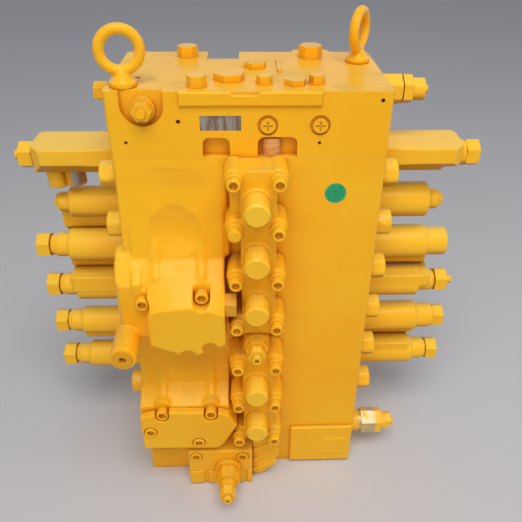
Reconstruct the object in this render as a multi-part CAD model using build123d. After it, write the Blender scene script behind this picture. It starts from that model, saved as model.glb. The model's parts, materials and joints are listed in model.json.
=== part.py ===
# Six-section main control valve of an excavator, cast body with spools across it.
# Millimetres. X runs along the spools, Y from the front face to the back, Z up.
# The origin is the centre of the underside of the body, in the middle of its mounting holes.
from build123d import *
import math
import os

# Body and top block
body_width = 360.0
body_depth = 206.0
body_height = 600.0
top_block_height = 86.0
body_edge_radius = 5.0
foot_step = 12.0
foot_step_height = 50.0
front_y = -body_depth / 2
back_y = body_depth / 2
side_x = body_width / 2
top_z = body_height + top_block_height

# Spools and the sections they belong to, the first section at the top
section_count = 6
first_section_drop = 44.0
last_section_z = 163.5
section_pitch = (body_height - first_section_drop - last_section_z) / (section_count - 1)
spool_y = 16.0
spool_radius = 15.0
spool_clearance = 0.03
spool_groove_radius = 10.5
spool_land_end = side_x - 17
spool_rod_radius = 7.0
spool_rod_end = side_x + 25
spool_stroke = 9.0
spool_overlap = 2.5

# Passages and ports
gallery_radius = 11.0
tank_gallery_x = side_x - 60
supply_gallery_y = front_y + 57
supply_gallery_radius = 8.0
feed_radius = 6.5
service_port_x = 62.0
service_port_radius = 9.5
service_bolt_spacing_x = 50.8
service_bolt_spacing_z = 23.8
service_bolt_radius = 4.3
service_bolt_depth = 20.0
supply_port_z = 62.0
supply_port_radius = 12.5
supply_bolt_spacing_x = 57.2
supply_bolt_spacing_z = 27.8
supply_bolt_radius = 5.1
tank_port_x = 24.0
tank_port_z = body_height + 43
tank_port_radius = 13.0
tank_bolt_spacing_x = 58.7
tank_bolt_spacing_z = 30.2
foot_bolt_spacing_x = body_width - 100
foot_bolt_spacing_y = body_depth - 86
foot_bolt_radius = 7.0
foot_bolt_depth = 30.0

# End caps, their ears and screws, and the springs inside them
cap_bore_radius = 19.5
cap_bore_depth = 84.0
cap_ear_thickness = 14.0
cap_ear_half_height = 23.0
cap_ear_back = spool_y + 44
cap_screw_y = spool_y + 36
cap_screw_z = 14.0
adjuster_radius = 7.0
adjuster_clearance = 0.1
lock_nut_width = 36.0
small_lock_nut_width = 24.0
lock_nut_length = 20.0
spring_outer_radius = 17.0
spring_inner_radius = 13.0
spring_seat_thickness = 6.0
spring_seat_bore = 8.2
seal_inner_radius = 20.4
seal_outer_radius = 23.4
seal_depth = 2.6
fit_gap = 0.3

# Webs between neighbouring caps, as (side, section above)
web_places = [(-1, 1), (-1, 2), (-1, 4), (1, 2), (1, 4)]
web_length = 122.0
web_front = spool_y + 8
web_back = spool_y + 26
web_foot_back = spool_y + 44
web_foot_thickness = 12.0
web_foot_half_height = section_pitch / 2 - cap_ear_half_height - 2
web_screw_y = spool_y + 36

# Centre column: two plates over the check valves, and the main relief valve between them
column_x = 7.3
column_plate_depth = 44.0
column_neck_left = column_x - 21
column_neck_right = column_x + 27
column_dome_radius = 17.2
column_dome_length = 36.0
column_bore_radius = 12.5
column_bore_depth = 66.0
column_screw_x = 28.5
column_lobe_radius = 13.0
column_boss_radius = 11.0
column_boss_length = 12.0
column_top_row_drop = 10.0
column_row_rise = 3.0
cap_spigot_radius = 12.0
check_sections = (0, 1, 2, 4, 5)
poppet_length = 46.0
poppet_lift = 6.0
poppet_seat_radius = 8.5
poppet_spring_radius = 9.5
poppet_spring_bore = 6.5
fit_running = 0.05
relief_section = 3
relief_bore_radius = 11.0
relief_bore_depth = 50.0

# Front housings
housing_left = -side_x + 35
housing_right = column_x - 44.3
housing_front = 75.0
housing_step_front = 49.0
wing_left = -side_x - 10
wing_right = -side_x + 14
dish_radius = 89.0
port_boss_x = -side_x
port_boss_rise = 20.5
port_boss_radius = 19.0
port_boss_front = 98.0
port_front_y = front_y - port_boss_front
lower_housing_front = 46.0
lower_cover_thickness = 14.0
valve_block_left = column_x - 117.3
valve_block_right = column_x - 7.3
valve_block_front = 50.0
valve_block_height = 86.0
bottom_relief_x = column_x - 49.3
bottom_relief_z = 44.4
bottom_relief_bore_depth = 40.0
connector_front = 34.0
corner_plate_left = column_x + 60.7
corner_plate_height = 90.0
corner_plate_thickness = 7.0

# Details on the top block
pocket_depth = 8.0
sensor_x = -side_x + 47
sensor_z = top_z - 23
sensor_boss_radius = 15.5
sensor_thread_radius = 8.0
arch_depth = 12.0
lip_proud = 4.0
lip_height = 18.0
screw_plug_xs = (column_x + 15.5, column_x + 82.1)
screw_plug_z = body_height + 42.5
screw_plug_radius = 9.5
screw_plug_thread = 6.0
top_side_plug_y = spool_y - 56
top_side_plug_z = top_z - 18
fitting_y = spool_y - 6
fitting_z = top_z - 31
fitting_thread_radius = 12.0
fitting_thread_length = 18.0

# Outlet fitting low on the right side
outlet_y = spool_y - 84
outlet_z = 62.0
outlet_thread_radius = 14.0
outlet_thread_length = 18.0

# Plugs on both sides
side_plug_y = spool_y - 78
side_plug_rise = 3.0
side_plug_width = 36.0
side_plug_reach = 26.0
side_plug_thread_radius = 13.5
side_plug_thread_length = 22.0
plug_clearance = 0.1

# Fasteners
m12_radius = 6.0
m12_head_radius = 9.0
m12_head_height = 12.0
m12_socket_width = 10.0
m10_radius = 5.0
m10_head_radius = 8.0
m10_head_height = 10.0
screw_clearance = 0.15
screw_grip = 26.0

# Lifting eyebolts, as (x, y, turn)
eye_ring_radius = 24.5
eye_wire_radius = 6.8
eye_collar_radius = 17.0
eye_collar_height = 7.0
eye_shank_radius = 8.0
eye_shank_length = 28.0
eye_rise = 43.5
eyebolt_places = [(-side_x + 23, front_y + 23, 10.0), (side_x - 25, back_y - 65, 62.0)]

# Bolts on top, as (x, y, across flats, head), and plugs, as (x, y, across flats, head, thread radius)
top_bolt_places = [
    (column_x - 73.3, front_y + 22, 22.0, 12.0),
    (column_x + 11.7, front_y + 35, 18.0, 8.0),
    (column_x + 78.7, front_y + 35, 18.0, 9.0),
    (column_x + 82.7, back_y - 39, 30.0, 15.0),
    (column_x - 95.8, back_y - 34, 26.0, 13.0),
]
top_plug_places = [
    (column_x - 33.3, front_y + 53, 36.0, 9.0, 12.0),
    (column_x + 1.2, spool_y - 7.4, 27.0, 8.0, 9.0),
    (column_x + 50.7, front_y + 30, 25.0, 7.5, 8.0),
]

BOTTOM = (Align.CENTER, Align.CENTER, Align.MIN)

os.makedirs("parts", exist_ok=True)


def section_z(number):
    return body_height - first_section_drop - number * section_pitch


# Screws through the front housings, as (x, z, how far the head's underside is in front of the body)
housing_screws = [
    (-side_x + 28, section_z(2) + 7, housing_step_front),
    (column_x - 76.3, section_z(2) + 17, housing_step_front),
    (-side_x + 44, section_z(3) - 2.5, 25),
    (column_x - 67.3, section_z(3) + 15.5, 25),
]
lower_screws = [
    (-side_x + 36, last_section_z + 18.5, lower_housing_front),
    (column_x - 73.3, last_section_z + 18.5, lower_housing_front),
    (-side_x + 15, last_section_z - 16.5, lower_housing_front + 4),
    (column_x - 95.3, last_section_z - 43.5, lower_housing_front + 4),
]
block_screws = [
    (valve_block_left + 14, valve_block_height - 13.5, valve_block_front - 10),
    (valve_block_right - 17, valve_block_height - 16, valve_block_front - 10),
]


# Small builders


def column_row_z(row):
    if row == 0:
        return body_height - column_top_row_drop
    return section_z(row) + section_pitch / 2 + column_row_rise


def box_between(x0, x1, y0, y1, z0, z1):
    middle = ((x0 + x1) / 2, (y0 + y1) / 2, (z0 + z1) / 2)
    return Pos(*middle) * Box(abs(x1 - x0), abs(y1 - y0), abs(z1 - z0))


def rod_x(x0, x1, y, z, radius):
    return Pos((x0 + x1) / 2, y, z) * Rot(0, 90, 0) * Cylinder(radius, abs(x1 - x0))


def rod_y(y0, y1, x, z, radius):
    return Pos(x, (y0 + y1) / 2, z) * Rot(90, 0, 0) * Cylinder(radius, abs(y1 - y0))


def rod_z(z0, z1, x, y, radius):
    return Pos(x, y, (z0 + z1) / 2) * Cylinder(radius, abs(z1 - z0))


def hexagon(width):
    return RegularPolygon(width / 2, 6, major_radius=False)


def hex_x(x0, x1, y, z, width):
    solid = extrude(hexagon(width), abs(x1 - x0))
    return Pos(min(x0, x1), y, z) * Rot(0, 90, 0) * solid


def hex_y(y0, y1, x, z, width):
    solid = extrude(hexagon(width), abs(y1 - y0))
    return Pos(x, max(y0, y1), z) * Rot(90, 0, 0) * solid


def hex_z(z0, z1, x, y, width, turn=0.0):
    solid = extrude(hexagon(width), abs(z1 - z0))
    return Pos(x, y, min(z0, z1)) * Rot(0, 0, turn) * solid


def turned_x(points, y, z):
    profile = make_face(Polyline(*points, close=True))
    return Pos(0, y, z) * revolve(profile, Axis.X)


def turned_front(points, x, z):
    # Points are (distance in front of the front face, radius)
    profile = make_face(Polyline(*points, close=True))
    return Pos(x, front_y, z) * Rot(0, 0, -90) * revolve(profile, Axis.X)


def front_outline(points, depth, taper=0.0):
    # A closed outline in X and Z, extruded forwards from the front face
    flat = Plane((0, front_y, 0), x_dir=(1, 0, 0), z_dir=(0, -1, 0))
    return extrude(flat * make_face(Polyline(*points, close=True)), depth, taper=taper)


def side_outline(points, x0, x1):
    # A closed outline in Y and Z, extruded along X
    flat = Plane((x0, 0, 0), x_dir=(0, 1, 0), z_dir=(1, 0, 0))
    return extrude(flat * make_face(Polyline(*points, close=True)), x1 - x0)


def m12_front_screw(x, z, seat):
    # Socket screw in from the front; seat is how far its head's underside is in front of the body
    head_y = front_y - seat
    screw = rod_y(head_y - m12_head_height, head_y, x, z, m12_head_radius)
    screw += rod_y(head_y, front_y + screw_grip, x, z, m12_radius)
    return screw - hex_y(head_y - m12_head_height, head_y - m12_head_height / 2, x, z, m12_socket_width)


def group(solids):
    return Compound(children=list(solids))


# Spools and their bores


def spool(number):
    z = section_z(number)
    land = spool_radius
    neck = spool_groove_radius
    inner = service_port_x - service_port_radius - spool_overlap
    outer = service_port_x + service_port_radius + spool_overlap
    guide = tank_gallery_x + gallery_radius + spool_stroke - 4
    lands = [(-spool_land_end, -guide), (-outer, -inner), (inner, outer), (guide, spool_land_end)]
    points = [(-spool_rod_end, 0), (-spool_rod_end, spool_rod_radius)]
    points.append((-spool_land_end, spool_rod_radius))
    for start, end in lands:
        if start != -spool_land_end:
            points.append((start, neck))
        points += [(start, land), (end, land)]
        if end != spool_land_end:
            points.append((end, neck))
    points += [(spool_land_end, spool_rod_radius), (spool_rod_end, spool_rod_radius), (spool_rod_end, 0)]
    return turned_x(points, spool_y, z)


def check_poppet(number):
    z = section_z(number)
    back = column_bore_depth
    front = back - poppet_length
    radius = column_bore_radius - fit_running
    points = [
        (-back, 0),
        (-back, poppet_seat_radius),
        (-back + 8, radius),
        (-front, radius),
        (-front, poppet_spring_bore + 3.2),
        (-front - 12, poppet_spring_bore + 3.2),
        (-front - 12, 0),
    ]
    return turned_front(points, column_x, z)


# Cast lower body


def lower_body():
    body = box_between(-side_x, side_x, front_y, back_y, 0, body_height)
    body = fillet(body.edges().filter_by(Axis.Z), body_edge_radius)
    body += box_between(-side_x, valve_block_left - fit_gap, front_y - foot_step, front_y + 10, 0, foot_step_height)
    cuts = []
    bottom_level = section_z(section_count - 1)
    for number in range(section_count):
        z = section_z(number)
        cuts.append(rod_x(-side_x, side_x, spool_y, z, spool_radius + spool_clearance))
        cuts.append(rod_y(supply_gallery_y, spool_y, column_x, z, feed_radius))
        for side in (-1, 1):
            cuts.append(rod_y(spool_y, back_y, side * service_port_x, z, service_port_radius))
            for dx in (-1, 1):
                for dz in (-1, 1):
                    x = side * service_port_x + dx * service_bolt_spacing_x / 2
                    bolt_z = z + dz * service_bolt_spacing_z / 2
                    cuts.append(rod_y(back_y - service_bolt_depth, back_y, x, bolt_z, service_bolt_radius))
            plug_z = z + side_plug_rise
            inner = side * (side_x - side_plug_thread_length - 2)
            cuts.append(rod_x(inner, side * side_x, side_plug_y, plug_z, side_plug_thread_radius + plug_clearance))
            ring = Cylinder(seal_outer_radius, seal_depth) - Cylinder(seal_inner_radius, seal_depth)
            cuts.append(Pos(side * (side_x - seal_depth / 2), spool_y, z) * Rot(0, 90, 0) * ring)
            for dz in (-cap_screw_z, cap_screw_z):
                cuts.append(screw_hole_side(side, cap_screw_y, z + dz))
        if number == relief_section:
            cuts.append(rod_y(front_y, front_y + relief_bore_depth, column_x, z, relief_bore_radius))
        else:
            cuts.append(rod_y(front_y, front_y + column_bore_depth, column_x, z, column_bore_radius))
    cuts.append(rod_z(supply_port_z, section_z(0), column_x, supply_gallery_y, supply_gallery_radius))
    cuts.append(rod_y(supply_gallery_y, back_y, 0, supply_port_z, supply_port_radius))
    for side in (-1, 1):
        cuts.append(rod_z(bottom_level - 20, body_height, side * tank_gallery_x, spool_y, gallery_radius))
        ring = Cylinder(seal_outer_radius, seal_depth) - Cylinder(seal_inner_radius, seal_depth)
        cuts.append(Pos(side * tank_gallery_x, spool_y, body_height - seal_depth / 2) * ring)
        for dz in (-1, 1):
            x = side * supply_bolt_spacing_x / 2
            bolt_z = supply_port_z + dz * supply_bolt_spacing_z / 2
            cuts.append(rod_y(back_y - service_bolt_depth, back_y, x, bolt_z, supply_bolt_radius))
        for row in range(section_count + 1):
            cuts.append(screw_hole_front(column_x + side * column_screw_x, column_row_z(row)))
        for dy in (-1, 1):
            x = side * foot_bolt_spacing_x / 2
            cuts.append(rod_z(0, foot_bolt_depth, x, dy * foot_bolt_spacing_y / 2, foot_bolt_radius))
    for side, upper in web_places:
        cuts.append(screw_hole_side(side, web_screw_y, web_middle(upper)))
    for x, z, seat in housing_screws + lower_screws + block_screws:
        cuts.append(screw_hole_front(x, z))
    for x, y in [place[:2] for place in top_bolt_places]:
        cuts.append(rod_z(body_height - screw_grip - 2, body_height, x, y, m12_radius + screw_clearance))
    cuts.append(rod_x(side_x - outlet_thread_length - 2, side_x, outlet_y, outlet_z, outlet_thread_radius + plug_clearance))
    cuts.append(rod_y(front_y, front_y + bottom_relief_bore_depth, bottom_relief_x, bottom_relief_z, relief_bore_radius))
    return body - cuts


def screw_hole_front(x, z):
    return rod_y(front_y, front_y + screw_grip + 2, x, z, m12_radius + screw_clearance)


def screw_hole_side(side, y, z):
    return rod_x(side * (side_x - screw_grip - 2), side * side_x, y, z, m10_radius + screw_clearance)


def web_middle(upper):
    return section_z(upper) - section_pitch / 2


# Top block


def top_block():
    z0, z1 = body_height, top_z
    back = back_y - 8
    block = box_between(-side_x, side_x, front_y, back, z0, z1)
    block = fillet(block.edges().filter_by(Axis.Z), body_edge_radius)
    bump = box_between(side_x - 114, side_x - 58, back_y - 20, back_y + 6, z0 + 10, z1)
    block += fillet(bump.edges().filter_by(Axis.Z), 8)
    block -= box_between(column_x - 67.3, column_x - 21.3, back_y - 49, back_y, z0, z1)
    pocket_floor = sensor_z - sensor_boss_radius - 6
    pocket = front_slot(sensor_x - 28, sensor_x + 26, pocket_floor, z1 + 1, pocket_depth)
    block -= pocket - rod_y(front_y - 1, front_y + pocket_depth, sensor_x, sensor_z, sensor_boss_radius)
    block -= box_between(column_x - 70.3, column_x - 18.3, front_y, front_y + 1.5, z0 + 35.5, z0 + 55)
    for left, right, height in ((-68.3, -33.3, 26), (2.7, 53.7, 27)):
        arch = box_between(column_x + left, column_x + right, front_y, front_y + arch_depth, z0, z0 + height)
        block -= fillet(arch.edges().filter_by(Axis.Y).group_by(Axis.Z)[-1], 9)
    low = z1 - lip_height
    notch = [(column_x - 31.3, z1), (column_x - 27.3, z1 - 4), (column_x + 1.7, z1 - 4), (column_x + 5.7, z1)]
    ends = [(column_x + 82.7, z1), (column_x + 82.7, low), (column_x - 95.3, low), (column_x - 95.3, z1)]
    lip = front_outline(notch + ends, lip_proud)
    block += fillet(lip.edges().group_by(Axis.Y)[0], 2.5)
    for x in screw_plug_xs:
        ring = rod_y(front_y, front_y + 2.5, x, screw_plug_z, screw_plug_radius + 3.5)
        block -= ring
        block -= rod_y(front_y, front_y + 22, x, screw_plug_z, screw_plug_thread + plug_clearance)
    block -= rod_y(front_y, front_y + 14, -side_x + 22, z0 + 20, 2.2)
    block -= rod_y(front_y, front_y + 14, screw_plug_xs[1], z0 + 19, 2.2)
    block -= rod_y(front_y, front_y + 14, side_x - 14, z1 - 12, 2.6)
    block -= rod_y(front_y, front_y + 14, column_x - 97.3, z0 + 47.5, 2.8)
    cuts = []
    cuts.append(rod_x(-tank_gallery_x, tank_gallery_x, spool_y, tank_port_z, gallery_radius))
    cuts.append(rod_y(spool_y, back_y, tank_port_x, tank_port_z, tank_port_radius))
    for side in (-1, 1):
        cuts.append(rod_z(z0, tank_port_z, side * tank_gallery_x, spool_y, gallery_radius))
        for dz in (-1, 1):
            x = tank_port_x + side * tank_bolt_spacing_x / 2
            bolt_z = tank_port_z + dz * tank_bolt_spacing_z / 2
            cuts.append(rod_y(back - service_bolt_depth, back, x, bolt_z, supply_bolt_radius))
    for place in top_bolt_places:
        cuts.append(rod_z(z0, z1, place[0], place[1], m12_radius + 2 * screw_clearance))
    for x, y, width, height, thread in top_plug_places:
        cuts.append(rod_z(z1 - 20, z1, x, y, thread + plug_clearance))
    for x, y, turn in eyebolt_places:
        cuts.append(rod_z(z1 - eye_shank_length - 2, z1, x, y, eye_shank_radius + plug_clearance))
    cuts.append(rod_z(z1 - 12, z1, -side_x + 35.5, front_y + 60, 4))
    cuts.append(rod_y(front_y, front_y + 26, sensor_x, sensor_z, sensor_thread_radius + plug_clearance))
    cuts.append(rod_x(-side_x, -side_x + 18, top_side_plug_y, top_side_plug_z, 8 + plug_clearance))
    cuts.append(rod_x(side_x - fitting_thread_length - 2, side_x, fitting_y, fitting_z, fitting_thread_radius + plug_clearance))
    block = block - cuts
    rib = box_between(column_x + 31.2, column_x + 36.2, spool_y - 38, spool_y + 30, z1, z1 + 3)
    return block + rib


def front_slot(x0, x1, z0, z1, depth):
    # A slot with a round lower end, sunk into the front face
    radius = (x1 - x0) / 2
    slot = box_between(x0, x1, front_y, front_y + depth, z0 + radius, z1)
    return slot + rod_y(front_y, front_y + depth, (x0 + x1) / 2, z0 + radius, radius)


# End caps, drawn for the right side and mirrored for the left


def cap_shell(radius, body_length, nose_radius, nose_length, cone=0.0):
    end = side_x + body_length
    tip = side_x + nose_length
    points = [(side_x, 0), (side_x, radius), (end - 2, radius), (end, radius - 2)]
    if cone:
        points += [(end, nose_radius), (tip - cone, nose_radius), (tip, nose_radius - cone / 3), (tip, 0)]
    else:
        points += [(end, nose_radius), (tip - 1.5, nose_radius), (tip, nose_radius - 1.5), (tip, 0)]
    return turned_x(points, spool_y, 0)


def cap_with_top(radius, body_length, nose_radius, nose_length, low, high, front, reach):
    # A round cap whose upper part is squared off
    cap = cap_shell(radius, body_length, nose_radius, nose_length, 10)
    top = box_between(side_x, side_x + reach, front, spool_y + 26, low, high)
    return cap + chamfer(top.edges().filter_by(Axis.Z).group_by(Axis.X)[-1], 5)


def wide_cap(nose_length, stepped):
    # The block-shaped cap of the first section; it widens towards its end
    front = spool_y - 51
    back = spool_y + 26
    end = side_x + 135
    outline = [(side_x, front + 5), (side_x + 70, front), (end - 17, front), (end, front + 21), (end, back)]
    block = Pos(0, 0, -15) * extrude(make_face(Polyline(*outline, (side_x, back), close=True)), 41)
    block = fillet(block.edges().filter_by(Axis.Z).group_by(Axis.X)[-1], 6)
    block -= side_outline([(front - 5, -17), (front + 21, -17), (front - 5, 8)], side_x, end + 5)
    if stepped:
        block -= box_between(end - 29, end + 5, front - 5, back + 5, -17, -5)
    tip = side_x + nose_length
    nose = [(side_x, 0), (side_x, 26), (end - 29, 26), (end - 15, 19), (tip, 19), (tip, 0)]
    return block + turned_x(nose, spool_y, 0)


def finish_cap(shell, side, number, adjuster):
    ear_y1 = cap_ear_back
    ear = box_between(side_x, side_x + cap_ear_thickness, spool_y, ear_y1, -cap_ear_half_height, cap_ear_half_height)
    ear = fillet(ear.edges().filter_by(Axis.X).group_by(Axis.Y)[-1], 8)
    cap = shell + ear
    cap -= rod_x(side_x, side_x + cap_bore_depth, spool_y, 0, cap_bore_radius)
    if adjuster:
        cap -= rod_x(side_x, side_x + 150, spool_y, 0, adjuster_radius + adjuster_clearance)
    for dz in (-cap_screw_z, cap_screw_z):
        seat = side_x + cap_ear_thickness
        cap -= rod_x(seat, seat + 140, cap_screw_y, dz, m10_head_radius + 1)
        cap -= rod_x(side_x, side_x + cap_ear_thickness, cap_screw_y, dz, m10_radius + screw_clearance)
    cap = Pos(0, 0, section_z(number)) * cap
    return cap if side > 0 else mirror(cap, about=Plane.YZ)


def cap_shapes(side):
    # For each section: the cap, and the lengths at which its adjuster starts and ends
    if side < 0:
        return [
            (wide_cap(140, False), 140, 168),
            (cap_shell(24.5, 99, 15.5, 117), 117, 124),
            (cap_shell(28, 112, 20, 144, 14), 144, 168),
            (cap_with_top(27, 112, 19, 142, 2, 30, -12, 118), 142, 166),
            (cap_shell(24.5, 115, 20, 141, 10), 141, 165),
            (cap_shell(24, 114, 19, 140, 10), 140, 166),
        ]
    return [
        (wide_cap(147, True), 147, 172),
        (cap_shell(28, 101, 16, 118), 118, 127),
        (cap_shell(28, 109, 23.5, 144), 0, 0),
        (cap_with_top(27, 108, 19, 138, 3, 25, -10, 125), 138, 169),
        (cap_shell(27, 115, 22, 147, 6), 147, 169),
        (cap_with_top(26, 118, 20, 146, 7, 29, -6, 112), 146, 170),
    ]


def lock_nut_and_screw(side, number, start, end):
    # The stroke screw reaches in to just clear of the spool; its lock nut seats on the cap
    z = section_z(number)
    nut_end = side_x + min(end - 4, start + lock_nut_length)
    inner = spool_rod_end + spool_stroke + 1
    nut_width = lock_nut_width if end > 150 else small_lock_nut_width
    nut = hex_x(side_x + start, nut_end, spool_y, z, nut_width)
    nut -= rod_x(side_x + start, nut_end, spool_y, z, adjuster_radius)
    screw = rod_x(inner, side_x + end, spool_y, z, adjuster_radius)
    screw -= hex_x(side_x + end - 3, side_x + end, spool_y, z, 6)
    if side < 0:
        return mirror(nut, about=Plane.YZ), mirror(screw, about=Plane.YZ)
    return nut, screw


def cap_spring(side, number):
    start = side_x + spring_seat_thickness
    z = section_z(number)
    spring = rod_x(start, side_x + cap_bore_depth, spool_y, z, spring_outer_radius)
    spring -= rod_x(start, side_x + cap_bore_depth, spool_y, z, spring_inner_radius)
    return spring if side > 0 else mirror(spring, about=Plane.YZ)


def spring_seat(side, number):
    end = side_x + spring_seat_thickness
    z = section_z(number)
    seat = rod_x(side_x, end, spool_y, z, cap_bore_radius - 0.4) - rod_x(side_x, end, spool_y, z, spring_seat_bore)
    return seat if side > 0 else mirror(seat, about=Plane.YZ)


def cap_seal(side, number):
    z = section_z(number)
    ring = Cylinder(seal_outer_radius, seal_depth) - Cylinder(seal_inner_radius, seal_depth)
    return Pos(side * (side_x - seal_depth / 2), spool_y, z) * Rot(0, 90, 0) * ring


def web(side, upper, outlines):
    # A casting that fills the space between two neighbouring caps, behind their axes
    z = web_middle(upper)
    half = section_pitch / 2 - 12
    plate = box_between(side_x + cap_ear_thickness + fit_gap, side_x + web_length, web_front, web_back, z - half, z + half)
    neck = box_between(side_x, side_x + 40, web_front, web_back, z - web_foot_half_height, z + web_foot_half_height)
    foot = box_between(side_x, side_x + web_foot_thickness, web_front, web_foot_back, z - web_foot_half_height, z + web_foot_half_height)
    solid = plate + neck + foot
    for number in (upper, upper + 1):
        radius = outlines[number] + fit_gap
        solid -= rod_x(side_x - 1, side_x + web_length, spool_y, section_z(number), radius)
        if number in squared_tops:
            top_z_here = section_z(number) + 30 + fit_gap
            solid -= box_between(side_x, side_x + 130, spool_y - 16, spool_y + 26 + fit_gap, section_z(number), top_z_here)
    solid -= rod_x(side_x, side_x + web_foot_thickness, web_screw_y, z, m10_radius + screw_clearance)
    return solid if side > 0 else mirror(solid, about=Plane.YZ)


def side_screw(side, y, z, thickness):
    # A socket screw into the side of the body through a part this thick
    seat = side_x + thickness
    screw = rod_x(seat, seat + m10_head_height, y, z, m10_head_radius)
    screw += rod_x(side_x - screw_grip, seat, y, z, m10_radius)
    screw -= hex_x(seat + m10_head_height / 2, seat + m10_head_height, y, z, 8)
    return screw if side > 0 else mirror(screw, about=Plane.YZ)


def side_plug(side, number):
    z = section_z(number) + side_plug_rise
    head = hex_x(side_x, side_x + side_plug_reach, side_plug_y, z, side_plug_width)
    corner = side_plug_width / 2 * 2 / math.sqrt(3)
    end = side_x + side_plug_reach
    bevel = turned_x([(side_x, 0), (side_x, corner), (end - 3, corner), (end, corner - 4), (end, 0)], side_plug_y, z)
    plug = (head & bevel) + rod_x(side_x - side_plug_thread_length, side_x, side_plug_y, z, side_plug_thread_radius)
    return plug if side > 0 else mirror(plug, about=Plane.YZ)


# Centre column


def column_plate(rows, sections, z0, z1, left_solid):
    plate = box_between(column_neck_left, column_neck_right, front_y - column_plate_depth, front_y, z0, z1)
    if left_solid:
        upper = column_row_z(1) - column_lobe_radius
        plate += box_between(column_x - column_screw_x - 6, column_x - 7, front_y - column_plate_depth + 8, front_y, upper, z1)
    for row in rows:
        for side in (-1, 1):
            x = column_x + side * column_screw_x
            z = column_row_z(row)
            plate += rod_y(front_y - column_plate_depth, front_y, x, z, column_lobe_radius)
            plate += rod_y(front_y - column_plate_depth - column_boss_length, front_y, x, z, column_boss_radius)
    for number in sections:
        plate += rod_y(front_y - column_plate_depth - 3, front_y, column_x, section_z(number), column_dome_radius + 2)
    for number in sections:
        plate -= rod_y(front_y - 60, front_y, column_x, section_z(number), cap_spigot_radius + 0.1)
    for row in rows:
        for side in (-1, 1):
            x = column_x + side * column_screw_x
            plate -= rod_y(front_y - 60, front_y, x, column_row_z(row), m12_radius + screw_clearance)
    return plate


def check_valve_cap(number):
    z = section_z(number)
    seat = column_plate_depth + 3
    points = [
        (seat - 16, 0),
        (seat - 16, cap_spigot_radius),
        (seat, cap_spigot_radius),
        (seat, column_dome_radius),
        (seat + column_dome_length - 3, column_dome_radius),
        (seat + column_dome_length, column_dome_radius - 3),
        (seat + column_dome_length, 0),
    ]
    return turned_front(points, column_x, z) - rod_y(front_y - seat - 20, front_y - 10, column_x, z, poppet_spring_radius)


def check_spring(number):
    z = section_z(number)
    front = front_y - column_plate_depth - 3 - 20
    back = front_y + column_bore_depth - poppet_length + 12 - poppet_lift - 2
    spring = rod_y(front, back, column_x, z, poppet_spring_radius - 0.6)
    return spring - rod_y(front, back, column_x, z, poppet_spring_bore)


def main_relief_body():
    z = section_z(relief_section)
    block = box_between(column_x - 19, column_x + 19, front_y - 34, front_y, z - 20, z + 15)
    block += rod_y(front_y - 52, front_y, column_x, z, 19)
    block += hex_y(front_y - 62, front_y - 52, column_x, z, 30)
    return block - rod_y(front_y - 80, front_y, column_x, z, 7.1)


def main_relief_screw():
    z = section_z(relief_section)
    nut = hex_y(front_y - 76, front_y - 62, column_x, z, 22) - rod_y(front_y - 80, front_y, column_x, z, 7)
    screw = rod_y(front_y - 84, front_y - 40, column_x, z, 7) - hex_y(front_y - 84, front_y - 81, column_x, z, 6)
    return nut, screw


def relief_poppet(x, z, depth):
    # A cone-nosed poppet that closes the inner end of its bore
    back = -depth
    points = [(back, 0), (back, 8), (back + 4, relief_bore_radius - fit_running)]
    points += [(back + 26, relief_bore_radius - fit_running), (back + 26, 7), (back + 16, 7), (back + 16, 0)]
    return turned_front(points, x, z)


def relief_spring(x, z, depth, front):
    spring = rod_y(front_y - front, front_y + depth - 22, x, z, 6.4)
    return spring - rod_y(front_y - front, front_y + depth - 22, x, z, 4)


# Front housings


def rounded(solid, radius):
    # Rounds the edges that stand clear of the front face
    edges = solid.edges().filter_by(lambda edge: edge.bounding_box().max.Y < front_y - 4)
    return fillet(edges, radius)


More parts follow.
